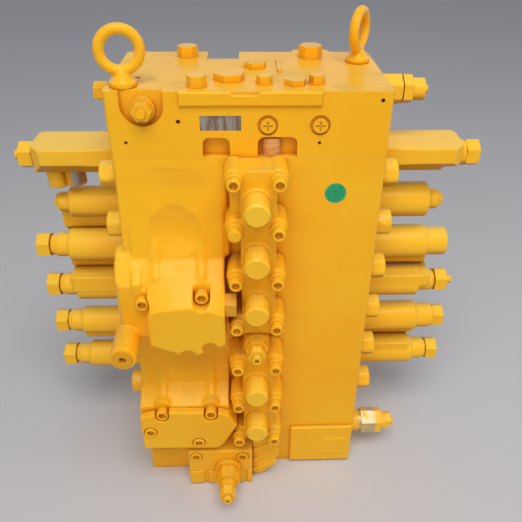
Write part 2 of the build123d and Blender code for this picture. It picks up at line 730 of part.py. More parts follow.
def front_housing():
    face = front_y - housing_front
    step = front_y - housing_step_front
    floor = section_z(3)
    slope = [(front_y, body_height - 2), (front_y - 3, section_z(0) + 4)]
    slope += [(front_y - 9, section_z(0) - 36), (front_y - 21, section_z(1) - 19.5)]
    profile = slope + [(face, section_z(2) + 10), (face, floor + 4.5), (front_y, floor - 22.5)]
    housing = rounded(side_outline(profile, housing_left, housing_right), 3)
    profile = slope + [(step, section_z(2) + 33), (step, floor + 19.5), (front_y, floor - 10.5)]
    housing += side_outline(profile, wing_right, housing_left + 5)
    shoulder = slope[:3] + [(front_y - 15, section_z(1) - 5.5), (front_y, section_z(1) - 5.5)]
    housing += side_outline(shoulder, -side_x + 2, wing_right)
    # The port casting on its left overhangs the side of the body
    profile = [(front_y, section_z(1) - 7.5), (front_y - 17, section_z(1) - 13.5)]
    profile += [(front_y - 47, section_z(2) + 29), (front_y - 47, floor + 1.5)]
    profile += [(front_y - 17, floor - 4.5), (front_y, floor - 4.5)]
    wing = side_outline(profile, wing_left, wing_right)
    housing += chamfer(wing.edges().filter_by(Axis.Z).group_by(Axis.X)[0], 6)
    boss_z = floor + port_boss_rise
    housing += rod_y(port_front_y, step + 12, port_boss_x, boss_z, port_boss_radius)
    housing -= rod_y(port_front_y, port_front_y + 24, port_boss_x, boss_z, 10 + plug_clearance)
    # The lower edge is cut back around the notch
    left = housing_left - 1
    cut = [(left, floor - 35), (left, floor + 24.5), (left + 40, floor + 7.5), (left + 48, floor - 35)]
    housing -= front_outline(cut, housing_front + 5) - front_outline(cut, housing_step_front)
    right = housing_right
    cut = [(right - 47, floor - 35), (right - 42, floor + 4.5), (right, floor + 22.5), (right, floor - 35)]
    housing -= front_outline(cut, housing_front + 5)
    housing -= rod_y(face - 12, front_y - 52, right - 55, floor + 1.5, 12)
    # The face above the slope is dished
    middle = (housing_left + housing_right) / 2 - 13
    housing -= Pos(middle, front_y - 93, section_z(0) - 44) * Sphere(dish_radius)
    for x, z, seat in housing_screws:
        recess = m12_head_radius + (2.5 if seat == housing_step_front else 2)
        housing -= rod_y(face - 20, front_y - seat, x, z, recess)
        housing -= rod_y(face - 20, front_y, x, z, m12_radius + screw_clearance)
    x, z, seat = housing_screws[1]
    housing -= box_between(x - 11.5, x + 11.5, face - 20, front_y - seat, z, z + 34)
    plug_z = section_z(2) - 1
    return housing - rod_x(housing_right - 18, housing_right, step, plug_z, 10 + plug_clearance)


def cover_outline():
    # Left edge first, then round over the top to the pointed right end
    left = -side_x + 1
    z = last_section_z
    points = [(left, z + 17.5), (left + 44, z + 28.5), (column_x - 57.9, z + 25.5)]
    points += [(column_x - 43.9, z + 19.5), (column_x - 31.6, z - 4.5), (column_x - 56.3, z - 50.5)]
    return points + [(column_x - 65.3, z - 57.5), (left, z - 54.5)]


def lower_housing():
    depth = lower_housing_front
    z = last_section_z
    profile = [(front_y, z + 98), (front_y - 5, z + 72), (front_y - 13, z + 48), (front_y - depth, z + 28.5)]
    profile += [(front_y - depth, z - 57.5), (front_y, z - 57.5)]
    housing = side_outline(profile, -side_x, column_x - 31)
    limit = [(-side_x, z - 57.5), (-side_x, z + 106), (column_x - 44.5, z + 106)] + cover_outline()[3:7]
    housing &= front_outline(limit, depth + 20)
    for x, screw_z, seat in lower_screws[:2]:
        housing += rod_y(front_y - depth, front_y, x, screw_z + 6, 15)
    housing += hex_x(-side_x - 8, -side_x, front_y - 24, z - 39.5, 17)
    for x, screw_z, seat in lower_screws:
        housing -= rod_y(front_y - depth - 20, front_y, x, screw_z, m12_radius + screw_clearance)
    return housing


def lower_cover():
    seat_y = front_y - lower_housing_front
    face_y = seat_y - lower_cover_thickness
    depth = lower_housing_front + lower_cover_thickness
    cover = front_outline(cover_outline(), depth) - front_outline(cover_outline(), lower_housing_front)
    cover = chamfer(cover.edges().group_by(Axis.Y)[0], 1.5)
    for x, z, seat in lower_screws[:2]:
        slot = rod_y(face_y - 5, seat_y, x, z, m12_head_radius + 2)
        cover -= slot + box_between(x - 11, x + 11, face_y - 5, seat_y, z, z + 35)
    for x, z, seat in lower_screws[2:]:
        cover -= rod_y(face_y - 5, front_y - seat, x, z, m12_head_radius + 1.5)
        cover -= rod_y(face_y - 5, seat_y, x, z, m12_radius + screw_clearance)
    return cover


def valve_block():
    block = box_between(valve_block_left, valve_block_right, front_y - valve_block_front, front_y, 0, valve_block_height)
    block = chamfer(block.edges().group_by(Axis.Y)[0], 2.5)
    face = front_y - valve_block_front
    for x in (valve_block_left + 30, valve_block_right - 12):
        block -= box_between(x - 3, x + 3, face, face + 3, 0, 34)
    block -= box_between(valve_block_left, valve_block_right, face, face + 2, 33, 37)
    for x, z, seat in block_screws:
        block -= rod_y(face, front_y - seat, x, z, m12_head_radius + 1.5)
        block -= rod_y(face, front_y, x, z, m12_radius + screw_clearance)
    return block - rod_y(face, front_y, bottom_relief_x, bottom_relief_z, 14.1)


def bottom_cartridge():
    # Screwed into the valve block: collar, six-sided body and the tube that carries the spring
    face = front_y - valve_block_front
    x, z = bottom_relief_x, bottom_relief_z
    body = rod_y(face - 9, face, x, z, 22.5) + rod_y(face, front_y - 4, x, z, 14)
    body += hex_y(face - 32, face - 9, x, z, 34) + rod_y(face - 44, face - 32, x, z, 13.5)
    return body - rod_y(face - 60, front_y, x, z, 7.1)


def bottom_cartridge_screw():
    face = front_y - valve_block_front
    x, z = bottom_relief_x, bottom_relief_z
    nut = hex_y(face - 60, face - 44, x, z, 24) - rod_y(face - 60, face - 44, x, z, 7)
    screw = rod_y(face - 68, face - 20, x, z, 7) - rod_y(face - 68, face - 58, x, z, 3)
    return nut, screw


def ribbed_connector():
    # A rounded casting between the valve block and the corner plate, with three slanting ribs
    left = valve_block_right + fit_gap
    edge = [(left, 0), (left + 20, 8), (left + 36, 26), (left + 44, 52), (left + 45, 96), (left, 96)]
    casting = front_outline(edge, connector_front)
    whole = front_outline(edge, connector_front + 4)
    for low in (14, 40, 66):
        rib = [(left, low), (left + 30, low + 12), (left + 46, low + 24), (left + 46, low + 32), (left, low + 8)]
        casting += front_outline(rib, connector_front + 4) & whole
    return casting


def corner_plate():
    left = corner_plate_left
    plate = box_between(left, side_x - 2, front_y - corner_plate_thickness, front_y, 3, corner_plate_height)
    plate = chamfer(plate.edges().group_by(Axis.Y)[0], 2)
    right = side_x - 10
    raised = [(right - 52, 22), (right - 52, 30), (right - 40, 62), (right, 62), (right, 22)]
    return plate + front_outline(raised, corner_plate_thickness + 1.5)


# Eyebolts, fittings, plugs and fasteners


def eyebolt(x, y, turn):
    ring = Pos(0, 0, eye_rise) * Rot(90, 0, 0) * Torus(eye_ring_radius, eye_wire_radius)
    neck = Pos(0, 0, eye_collar_height) * Cone(
        eye_collar_radius - 3, eye_wire_radius + 1, eye_rise - eye_ring_radius - eye_collar_height, align=BOTTOM
    )
    stem = Cylinder(eye_collar_radius, eye_collar_height, align=BOTTOM)
    stem += Pos(0, 0, -eye_shank_length) * Cylinder(eye_shank_radius, eye_shank_length, align=BOTTOM)
    return Pos(x, y, top_z) * Rot(0, 0, turn) * (stem + neck + ring)


def top_fitting():
    y, z = fitting_y, fitting_z
    solid = rod_x(side_x - fitting_thread_length, side_x, y, z, fitting_thread_radius)
    end = side_x + 35
    solid += hex_x(side_x, end, y, z, 38) & rod_x(side_x, end, y, z, 21)
    solid += rod_x(end, end + 2, y, z, 15) + hex_x(end + 2, end + 15, y, z, 36)
    return solid + rod_x(end + 15, end + 33, y, z, 15.5) + rod_x(end + 33, end + 39, y, z, 6)


def outlet_fitting():
    y, z = outlet_y, outlet_z
    solid = rod_x(side_x - outlet_thread_length, side_x, y, z, outlet_thread_radius)
    solid += rod_x(side_x, side_x + 20, y, z, 18.5)
    return solid + hex_x(side_x + 20, side_x + 43, y, z, 41)


def outlet_cap():
    y, z = outlet_y, outlet_z
    start = side_x + 43
    solid = hex_x(start, start + 14, y, z, 40) + rod_x(start + 14, start + 23, y, z, 15)
    return solid + hex_x(start + 23, start + 33, y, z, 27) + rod_x(start + 33, start + 38, y, z, 7)


def top_bolt(x, y, width, height):
    washer = top_z + 2
    bolt = rod_z(washer, washer + height, x, y, 30) & hex_z(washer, washer + height, x, y, width)
    return bolt + rod_z(top_z, washer, x, y, width / 2 + 2) + rod_z(body_height - screw_grip, top_z, x, y, m12_radius)


def top_plug(x, y, width, height, thread):
    plug = hex_z(top_z, top_z + height, x, y, width, 15)
    return plug + rod_z(top_z - 18, top_z, x, y, thread)


def cross_plug(x):
    plug = rod_y(front_y - 3, front_y + 2.5, x, screw_plug_z, screw_plug_radius)
    plug += rod_y(front_y + 2.5, front_y + 20, x, screw_plug_z, screw_plug_thread)
    plug -= box_between(x - 6, x + 6, front_y - 3, front_y - 1.5, screw_plug_z - 1, screw_plug_z + 1)
    return plug - box_between(x - 1, x + 1, front_y - 3, front_y - 1.5, screw_plug_z - 6, screw_plug_z + 6)


def sensor_plug():
    x, z = sensor_x, sensor_z
    plug = rod_y(front_y - 4, front_y, x, z, 13) + hex_y(front_y - 13, front_y - 4, x, z, 22)
    plug += rod_y(front_y - 18, front_y - 13, x, z, 6)
    plug += rod_y(front_y, front_y + 24, x, z, sensor_thread_radius)
    return plug


def tank_seal(side):
    ring = Cylinder(seal_outer_radius, seal_depth) - Cylinder(seal_inner_radius, seal_depth)
    return Pos(side * tank_gallery_x, spool_y, body_height - seal_depth / 2) * ring


def wing_plug():
    x, z = port_boss_x, section_z(3) + port_boss_rise
    plug = rod_y(port_front_y - 2, port_front_y, x, z, 13.5) + rod_y(port_front_y, port_front_y + 20, x, z, 10)
    return plug - hex_y(port_front_y - 2, port_front_y + 6, x, z, 10)


def top_side_plug():
    y, z = top_side_plug_y, top_side_plug_z
    return hex_x(-side_x - 23, -side_x, y, z, 22) + rod_x(-side_x, -side_x + 16, y, z, 8)


def cap_underside_plug():
    # Round plug under the left cap of the first section
    z = section_z(0)
    plug = rod_z(z - 40, z - 15, -side_x - 82, spool_y - 12, 15.5)
    return plug - rod_x(-side_x - 120, -side_x, spool_y, z, 26)


def housing_plug():
    x, y, z = housing_right, front_y - housing_step_front, section_z(2) - 1
    return hex_x(x, x + 16, y, z, 32) + rod_x(x - 16, x, y, z, 10)


nodes = {}
sides = {"left": -1, "right": 1}
cap_outlines = {
    -1: (26, 24.5, 28, 27, 24.5, 24),
    1: (26, 28, 28, 27, 27, 26),
}
squared_tops = (3, 5)

nodes["valve_body"] = lower_body()
nodes["top_block"] = top_block()
nodes["front_housing"] = front_housing()
nodes["lower_housing"] = lower_housing()
nodes["lower_cover"] = lower_cover()
nodes["bottom_valve_block"] = valve_block()
nodes["ribbed_connector"] = ribbed_connector()
nodes["corner_plate"] = corner_plate()
nodes["upper_column_plate"] = column_plate((0, 1, 2, 3), (0, 1, 2), section_z(3) + 19, body_height, True)
foot_of_column = column_row_z(section_count) - 12
nodes["lower_column_plate"] = column_plate((4, 5, 6), (4, 5), foot_of_column, section_z(3) - 22, False)
for number in range(section_count):
    nodes[f"spool_{number + 1}"] = spool(number)
for order, number in enumerate(check_sections):
    nodes[f"check_poppet_{order + 1}"] = check_poppet(number)
nodes["check_valve_caps"] = group([check_valve_cap(number) for number in check_sections])
lock_nuts = []
adjusting_screws = []
for word, side in sides.items():
    for number, (shell, start, end) in enumerate(cap_shapes(side)):
        nodes[f"{word}_cap_{number + 1}"] = finish_cap(shell, side, number, end > 0)
        if end:
            nut, screw = lock_nut_and_screw(side, number, start, end)
            lock_nuts.append(nut)
            adjusting_screws.append(screw)
for nut, screw in (main_relief_screw(), bottom_cartridge_screw()):
    lock_nuts.append(nut)
    adjusting_screws.append(screw)
nodes["lock_nuts"] = group(lock_nuts)
nodes["adjusting_screws"] = group(adjusting_screws)
both = [(side, number) for side in (-1, 1) for number in range(section_count)]
nodes["cap_webs"] = group([web(side, upper, cap_outlines[side]) for side, upper in web_places])
nodes["side_plugs"] = group([side_plug(side, number) for side, number in both])
nodes["centring_springs"] = group([cap_spring(side, number) for side, number in both])
nodes["spring_seats"] = group([spring_seat(side, number) for side, number in both])
seals = [cap_seal(side, number) for side, number in both] + [tank_seal(side) for side in (-1, 1)]
nodes["seal_rings"] = group(seals)
side_screws = []
for side, number in both:
    for dz in (-cap_screw_z, cap_screw_z):
        side_screws.append(side_screw(side, cap_screw_y, section_z(number) + dz, cap_ear_thickness))
side_screws += [side_screw(side, web_screw_y, web_middle(upper), web_foot_thickness) for side, upper in web_places]
nodes["side_screws"] = group(side_screws)
nodes["main_relief_body"] = main_relief_body()
nodes["bottom_relief_body"] = bottom_cartridge()
main_relief_z = section_z(relief_section)
nodes["main_relief_poppet"] = relief_poppet(column_x, main_relief_z, relief_bore_depth)
nodes["bottom_relief_poppet"] = relief_poppet(bottom_relief_x, bottom_relief_z, bottom_relief_bore_depth)
springs = [check_spring(number) for number in check_sections]
springs.append(relief_spring(column_x, main_relief_z, relief_bore_depth, 40))
springs.append(relief_spring(bottom_relief_x, bottom_relief_z, bottom_relief_bore_depth, valve_block_front + 20))
nodes["poppet_springs"] = group(springs)
column_screws = []
for row in range(section_count + 1):
    for side in (-1, 1):
        seat = column_plate_depth + column_boss_length
        column_screws.append(m12_front_screw(column_x + side * column_screw_x, column_row_z(row), seat))
nodes["column_screws"] = group(column_screws)
front_screws = [m12_front_screw(x, z, seat) for x, z, seat in housing_screws + lower_screws + block_screws]
nodes["housing_screws"] = group(front_screws)
nodes["top_block_bolts"] = group([top_bolt(*place) for place in top_bolt_places])
nodes["top_plugs"] = group([top_plug(*place) for place in top_plug_places] + [top_side_plug()])
nodes["cross_plugs"] = group([cross_plug(x) for x in screw_plug_xs])
nodes["sensor_plug"] = sensor_plug()
nodes["housing_plugs"] = group([wing_plug(), housing_plug(), cap_underside_plug()])
nodes["top_fitting"] = top_fitting()
nodes["outlet_fitting"] = outlet_fitting()
nodes["outlet_cap"] = outlet_cap()
nodes["eyebolts"] = group([eyebolt(*place) for place in eyebolt_places])

for name, shape in nodes.items():
    export_step(shape, f"parts/{name}.step")
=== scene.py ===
# Painted main control valve of an excavator, dressed on top of its CAD frame
import bmesh
import bpy
import json
import math
from mathutils import Matrix, Vector


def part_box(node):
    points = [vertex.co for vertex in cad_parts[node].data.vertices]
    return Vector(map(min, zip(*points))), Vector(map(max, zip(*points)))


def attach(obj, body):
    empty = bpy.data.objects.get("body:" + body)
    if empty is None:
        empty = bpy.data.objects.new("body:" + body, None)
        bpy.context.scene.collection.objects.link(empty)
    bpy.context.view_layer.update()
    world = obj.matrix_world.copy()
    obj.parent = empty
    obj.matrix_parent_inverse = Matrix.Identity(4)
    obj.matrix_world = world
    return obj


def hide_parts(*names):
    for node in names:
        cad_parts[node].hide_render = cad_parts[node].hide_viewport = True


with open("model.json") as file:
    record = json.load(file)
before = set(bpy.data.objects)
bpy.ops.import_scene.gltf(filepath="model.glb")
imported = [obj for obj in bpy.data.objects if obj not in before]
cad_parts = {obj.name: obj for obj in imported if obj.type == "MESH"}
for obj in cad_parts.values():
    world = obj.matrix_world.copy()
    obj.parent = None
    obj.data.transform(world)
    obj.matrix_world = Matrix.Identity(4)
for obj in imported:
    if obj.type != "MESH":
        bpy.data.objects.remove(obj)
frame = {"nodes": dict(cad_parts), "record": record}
scene = bpy.context.scene
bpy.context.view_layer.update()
print("frame loaded", len(frame["nodes"]))

# Camera, placed from the solved photo: metres, degrees and pixels
cameraView = {
    "place": (-0.0059, -0.8172, 0.9014),
    "pitch": 32.886,
    "yaw": 2.342,
    "roll": 0.626,
    "imageSize": 522,
    "focalPixels": 586.39,
    "centre": (266.89, 260.65),
    "sensor": 36,
}


def placeCamera(values):
    pitch, yaw, roll = [math.radians(values[key]) for key in ("pitch", "yaw", "roll")]
    forward = Vector((math.sin(yaw) * math.cos(pitch), math.cos(yaw) * math.cos(pitch), -math.sin(pitch)))
    levelRight = Vector((math.cos(yaw), -math.sin(yaw), 0))
    levelUp = levelRight.cross(forward)
    right = levelRight * math.cos(roll) + levelUp * math.sin(roll)
    up = levelUp * math.cos(roll) - levelRight * math.sin(roll)
    data = bpy.data.cameras.new("camera")
    camera = bpy.data.objects.new("camera", data)
    scene.collection.objects.link(camera)
    turn = Matrix((right, up, -forward)).transposed()
    camera.matrix_world = Matrix.Translation(Vector(values["place"])) @ turn.to_4x4()
    size = values["imageSize"]
    data.sensor_width = values["sensor"]
    data.lens = values["focalPixels"] / size * values["sensor"]
    data.shift_x = (size / 2 - values["centre"][0]) / size
    data.shift_y = (values["centre"][1] - size / 2) / size
    data.clip_start = 0.01
    data.dof.use_dof = False
    scene.camera = camera


placeCamera(cameraView)
scene.view_settings.view_transform = "Standard"
print("camera placed")


# Shader maths on sockets
class Val:
    def __init__(self, graph, socket):
        self.graph = graph
        self.socket = socket

    def maths(self, kind, first, second=None):
        settings = {"operation": kind}
        inputs = {0: first}
        if second is not None:
            inputs[1] = second
        return self.graph.node("ShaderNodeMath", settings, inputs)

    def __add__(self, other):
        return self.maths("ADD", self, other)

    def __radd__(self, other):
        return self.maths("ADD", other, self)

    def __sub__(self, other):
        return self.maths("SUBTRACT", self, other)

    def __rsub__(self, other):
        return self.maths("SUBTRACT", other, self)

    def __mul__(self, other):
        return self.maths("MULTIPLY", self, other)

    def __rmul__(self, other):
        return self.maths("MULTIPLY", other, self)

    def __gt__(self, other):
        return self.maths("GREATER_THAN", self, other)

    def __lt__(self, other):
        return self.maths("LESS_THAN", self, other)

    def power(self, other):
        return self.maths("POWER", self, other)

    def most(self, other):
        return self.maths("MAXIMUM", self, other)

    def between(self, low, high):
        # Runs from 0 at low to 1 at high with soft ends
        inputs = {"Value": self, "From Min": low, "From Max": high, "To Min": 0.0, "To Max": 1.0}
        return self.graph.node("ShaderNodeMapRange", {"interpolation_type": "SMOOTHSTEP"}, inputs)

    def spread(self, low, high):
        # Runs from low to high as the value goes from 0 to 1
        inputs = {"Value": self, "From Min": 0.0, "From Max": 1.0, "To Min": low, "To Max": high}
        return self.graph.node("ShaderNodeMapRange", {}, inputs)


class Graph:
    # The node tree of a material or a world
    def __init__(self, owner):
        owner.use_nodes = True
        self.owner = owner
        self.tree = owner.node_tree

    def put(self, socket, value):
        if isinstance(value, Val):
            self.tree.links.new(value.socket, socket)
        else:
            socket.default_value = value

    def node(self, kind, settings=None, inputs=None, out=0):
        made = self.tree.nodes.new(kind)
        for key, value in (settings or {}).items():
            setattr(made, key, value)
        for key, value in (inputs or {}).items():
            self.put(made.inputs[key], value)
        return Val(self, made.outputs[out]) if len(made.outputs) else None

    def other(self, value, out):
        # Another output of the node that a value comes from
        return Val(self, value.socket.node.outputs[out])

    def noise(self, scale, detail=3.0, rough=0.5, stretch=None):
        where = self.place()
        if stretch:
            where = self.node("ShaderNodeMapping", {}, {"Vector": where, "Scale": stretch})
        inputs = {"Vector": where, "Scale": scale, "Detail": detail, "Roughness": rough}
        return self.node("ShaderNodeTexNoise", {}, inputs)

    def mix(self, amount, first, second):
        return self.node("ShaderNodeMix", {"data_type": "RGBA"}, {0: amount, 6: first, 7: second}, 2)

    def place(self):
        return self.node("ShaderNodeTexCoord", {}, {}, "Object")

    def parts(self, vector):
        x = self.node("ShaderNodeSeparateXYZ", {}, {0: vector})
        return x, self.other(x, 1), self.other(x, 2)

    def softEdge(self, radius):
        # The surface normal with its sharp edges rounded off
        return self.node("ShaderNodeBevel", {"samples": 4}, {"Radius": radius})

    def dot(self, first, second):
        return self.node("ShaderNodeVectorMath", {"operation": "DOT_PRODUCT"}, {0: first, 1: second}, "Value")

    def openness(self, distance):
        # Near 0 in corners and recesses, 1 in the open
        return self.node("ShaderNodeAmbientOcclusion", {"samples": 6}, {"Distance": distance}, "AO")

    def bump(self, height, strength, distance, base=None):
        inputs = {"Height": height, "Strength": strength, "Distance": distance}
        if base is not None:
            inputs["Normal"] = base
        return self.node("ShaderNodeBump", {}, inputs)

    def finish(self, **inputs):
        names = {"color": "Base Color", "rough": "Roughness", "metal": "Metallic", "normal": "Normal"}
        names.update(coat="Coat Weight", coatRough="Coat Roughness", specular="Specular IOR Level")
        names["glint"] = "Specular Tint"
        shader = self.tree.nodes["Principled BSDF"]
        for key, value in inputs.items():
            self.put(shader.inputs[names[key]], value)
        return self.owner


def newGraph(name):
    return Graph(bpy.data.materials.new(name))


def rgb(red, green, blue):
    # Linear colour from display values between 0 and 255
    return tuple(pow(v / 255, 2.2) for v in (red, green, blue)) + (1.0,)


# Yellow machinery enamel, sprayed over casting skin or turned steel
paint = {
    "main": (255, 179, 30),
    "light": (255, 190, 38),
    # Colour of the painted highlight on faces that look up
    "top": (244, 198, 60),
    # Colour of the painted shade in corners and recesses, and on faces that look down
    "corner": (192, 108, 16),
    "dust": (196, 168, 92),
    "film": 0.42,  # how much dust lies on faces that look up
    "under": 0.0,  # how much painted shade darkens faces that look down
    # Colour of the painted highlight along sharp edges
    "edge": (255, 212, 92),
    "fleck": (112, 74, 32),
    "glint": (255, 238, 184),
    "cornerReach": 0.014,
    "topAmount": 0.4,
    "cornerAmount": 0.75,
    "edgeHighlightAmount": 0.4,
    "coat": 0.05,
    "coatRough": 0.18,
    "specular": 0.35,
}
# The caps and fittings at the sides have a more lemon coat, with a stronger painted highlight on faces that look up and
# painted shade on faces that look down
sidePaint = dict(paint, main=(255, 188, 40), light=(255, 198, 52), top=(255, 224, 92), corner=(150, 86, 14))
sidePaint.update(film=0.1, under=0.8)

# Patterns in the enamel, each (scale, detail, roughness)
grains = {
    "clouds": (6.0, 4.0, 0.5),
    "peel": (420.0, 3.0, 0.6),
    "lumps": (95.0, 4.0, 0.55),
    "waves": (16.0, 3.0, 0.5),
    "dust": (24.0, 6.0, 0.65),
    "flecks": (240.0, 2.0, 0.5),
}

# Where the enamel lies: depth of its grain, share of flecks, roughness and radius of the rounded edges, which also sets
# the width of their painted highlight
coats = {
    "cast": {"grain": 0.9, "wear": 0.5, "rough": 0.34, "edgeRadius": 0.0014},
    "fitting": {"grain": 0.2, "wear": 0.8, "rough": 0.28, "edgeRadius": 0.0009},
    "sideCast": {"grain": 0.9, "wear": 0.4, "rough": 0.34, "edgeRadius": 0.0014},
    "sideFitting": {"grain": 0.2, "wear": 0.6, "rough": 0.28, "edgeRadius": 0.0009},
}


def yellowPaint(name, tones, coat):
    graph = newGraph(name)
    grain = {key: graph.noise(*values) for key, values in grains.items()}
    inOpen = graph.openness(tones["cornerReach"])
    flat = graph.node("ShaderNodeNewGeometry", {}, {}, "Normal")
    rounded = graph.softEdge(coat["edgeRadius"])
    # Painted highlight along the sharp edges, where the rounded normal turns away from the flat one
    edge = (1 - graph.dot(flat, rounded)).between(0.015, 0.16)
    upright = graph.parts(flat)[2]
    upward = upright.between(0.7, 0.97)
    # Painted shade on faces that look down
    under = (0 - upright).between(0.1, 0.9) * tones["under"]
    # Painted shade in corners and recesses, where little of the open is seen
    deep = (1 - inOpen).between(0.15, 0.75)
    film = grain["dust"].between(0.46, 0.66) * upward * tones["film"]
    flecks = (grain["flecks"] > 0.755) * coat["wear"]
    base = graph.mix(grain["clouds"].between(0.32, 0.68), rgb(*tones["main"]), rgb(*tones["light"]))
    # Painted highlight: faces that look up turn lighter and more lemon
    base = graph.mix(upward * tones["topAmount"], base, rgb(*tones["top"]))
    # Painted shade in corners and on faces that look down
    base = graph.mix((deep * tones["cornerAmount"]).most(under), base, rgb(*tones["corner"]))
    base = graph.mix(film, base, rgb(*tones["dust"]))
    # Painted highlight on the open edges
    base = graph.mix(edge * inOpen * tones["edgeHighlightAmount"], base, rgb(*tones["edge"]))
    base = graph.mix(flecks, base, rgb(*tones["fleck"]))
    gloss = grain["clouds"].spread(coat["rough"] - 0.05, coat["rough"] + 0.07)
    height = grain["lumps"] * coat["grain"] + grain["peel"] * (0.2 * coat["grain"]) + grain["waves"] * 0.9
    return graph.finish(
        color=base,
        rough=gloss + film * 0.35 + deep * 0.15,
        normal=graph.bump(height, 0.3, 0.0012, rounded),
        coat=tones["coat"],
        coatRough=tones["coatRough"],
        specular=tones["specular"],
        glint=rgb(*tones["glint"]),
    )


# Bare metals: colour, lowest roughness and depth of the lines left by turning
metals = {
    "groundSteel": {"colour": (176, 174, 168), "rough": 0.2, "scratch": 0.1},
    "springSteel": {"colour": (110, 108, 104), "rough": 0.35, "scratch": 0.1},
}


def steel(name):
    values = metals[name]
    graph = newGraph(name)
    lines = graph.noise(60.0, 3.0, 0.6, stretch=(1.0, 14.0, 14.0))
    base = graph.mix(lines * 0.35, rgb(*values["colour"]), rgb(*[v * 0.75 for v in values["colour"]]))
    rough = lines.spread(values["rough"], values["rough"] + 0.15)
    return graph.finish(color=base, rough=rough, metal=1.0, normal=graph.bump(lines, values["scratch"], 0.0004))


rubberBlack = (22, 22, 22)


def rubber(name):
    graph = newGraph(name)
    return graph.finish(color=rgb(*rubberBlack), rough=graph.noise(300.0).spread(0.55, 0.7))


# Zinc plate with yellow overspray at both ends of a bare stretch along X
bareStretch = {
    "fitting": {"from": 0.196, "to": 0.226, "plate": (196, 184, 142), "spray": (255, 194, 46), "metal": 0.5},
    "plugs": {"from": -0.262, "to": -0.247, "plate": (156, 152, 146), "spray": (226, 160, 32), "metal": 0.7},
}


def oversprayed(name, values):
    graph = newGraph(name)
    patches = graph.noise(70.0, 5.0, 0.6)
    drift = graph.parts(graph.place())[0] + (patches - 0.5) * 0.02
    started = drift.between(values["from"] - 0.002, values["from"] + 0.002)
    ended = drift.between(values["to"] - 0.002, values["to"] + 0.002)
    bare = started * (1 - ended) * patches.between(0.36, 0.5)
    base = graph.mix(bare, rgb(*values["spray"]), rgb(*values["plate"]))
    return graph.finish(
        color=base,
        rough=bare.spread(0.36, 0.44),
        metal=bare * values["metal"],
        normal=graph.bump(patches, 0.2, 0.0006, graph.softEdge(0.0008)),
        specular=0.35,
    )


finishes = {
    "yellow_cast": yellowPaint("castPaint", paint, coats["cast"]),
    "yellow_fitting": yellowPaint("fittingPaint", paint, coats["fitting"]),
    "ground_steel": steel("groundSteel"),
    "spring_steel": steel("springSteel"),
    "seal_rubber": rubber("sealRubber"),
    "bright_fitting": oversprayed("brightFitting", bareStretch["fitting"]),
}
sideCast = yellowPaint("sideCastPaint", sidePaint, coats["sideCast"])
sideFitting = yellowPaint("sideFittingPaint", sidePaint, coats["sideFitting"])
sideFittings = ("lock_nuts", "adjusting_screws", "side_plugs", "side_screws", "check_valve_caps", "top_fitting")

slotOf = {row["node"]: row["material_slot"] for row in frame["record"]["subparts"]}
finishOf = {}
for name, slot in slotOf.items():
    finishOf[name] = finishes[slot]
    if "_cap_" in name or name == "cap_webs":
        finishOf[name] = sideCast
    if name in sideFittings:
        finishOf[name] = sideFitting
finishOf["housing_plugs"] = oversprayed("plugOverspray", bareStretch["plugs"])
for name, node in frame["nodes"].items():
    node.data.materials.clear()
    node.data.materials.append(finishOf[name])
print("materials made")


# Mesh helpers
weldDistance = 0.000004


def mergedCopy(nodeName):
    work = bmesh.new()
    work.from_mesh(frame["nodes"][nodeName].data)
    bmesh.ops.remove_doubles(work, verts=work.verts, dist=weldDistance)
    return work


def placePiece(name, mesh, finish, smooth=True, replaced=()):
    # Makes a finished mesh a piece of the housing, in place of the CAD nodes that it replaces
    mesh.materials.clear()
    mesh.materials.append(finish)
    mesh.polygons.foreach_set("use_smooth", [smooth] * len(mesh.polygons))
    made = bpy.data.objects.new(name, mesh)
    scene.collection.objects.link(made)
    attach(made, "housing")
    if replaced:
        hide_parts(*replaced)
    return made


def addPiece(name, work, finish, smooth=True):
    # The same from mesh work that isn't a mesh yet
    mesh = bpy.data.meshes.new(name)
    work.to_mesh(mesh)
    work.free()
    return placePiece(name, mesh, finish, smooth)


def frozen(source, name):
    # The evaluated mesh of an object with modifiers, after which the object goes
    shown = source.evaluated_get(bpy.context.evaluated_depsgraph_get())
    mesh = bpy.data.meshes.new_from_object(shown)
    mesh.name = name
    old = source.data
    bpy.data.objects.remove(source)
    bpy.data.meshes.remove(old)
    return mesh


def ringMesh(rings, sides):
    # A turned shape about Y from its back ring to its front one, each (half its flats or None, radius or None, y)
    work = bmesh.new()
    rows = []
    for halfFlats, radius, y in rings:
        row = []
        for step in range(sides):
            angle = math.tau * step / sides
            reach = radius if radius is not None else 1.0
            if halfFlats is not None:
                wedge = (angle + math.pi / 6) % (math.pi / 3) - math.pi / 6
                reach = min(reach, halfFlats / math.cos(wedge))
            row.append(work.verts.new((reach * math.cos(angle), y, reach * math.sin(angle))))
        rows.append(row)
    for back, front in zip(rows, rows[1:]):
        for step in range(sides):
            after = (step + 1) % sides
            work.faces.new((back[step], back[after], front[after], front[step]))
    work.faces.new(rows[0])
    work.faces.new(rows[-1])
    bmesh.ops.recalc_face_normals(work, faces=work.faces)
    return work


def looseBoxes(nodeName):
    # Lowest and highest corner of each separate solid in a CAD node
    work = mergedCopy(nodeName)
    work.verts.ensure_lookup_table()
    seen = set()
    boxes = []
    for start in work.verts:
        if start.index in seen:
            continue
        seen.add(start.index)
        group = [start]
        for vert in group:
            for edge in vert.link_edges:
                other = edge.other_vert(vert)
                if other.index not in seen:
                    seen.add(other.index)
                    group.append(other)
        low = Vector([min(v.co[k] for v in group) for k in range(3)])
        high = Vector([max(v.co[k] for v in group) for k in range(3)])
        boxes.append((low, high))
    work.free()
    return boxes


# The corner plate's back lies on the body's front face
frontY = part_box("corner_plate")[1][1]

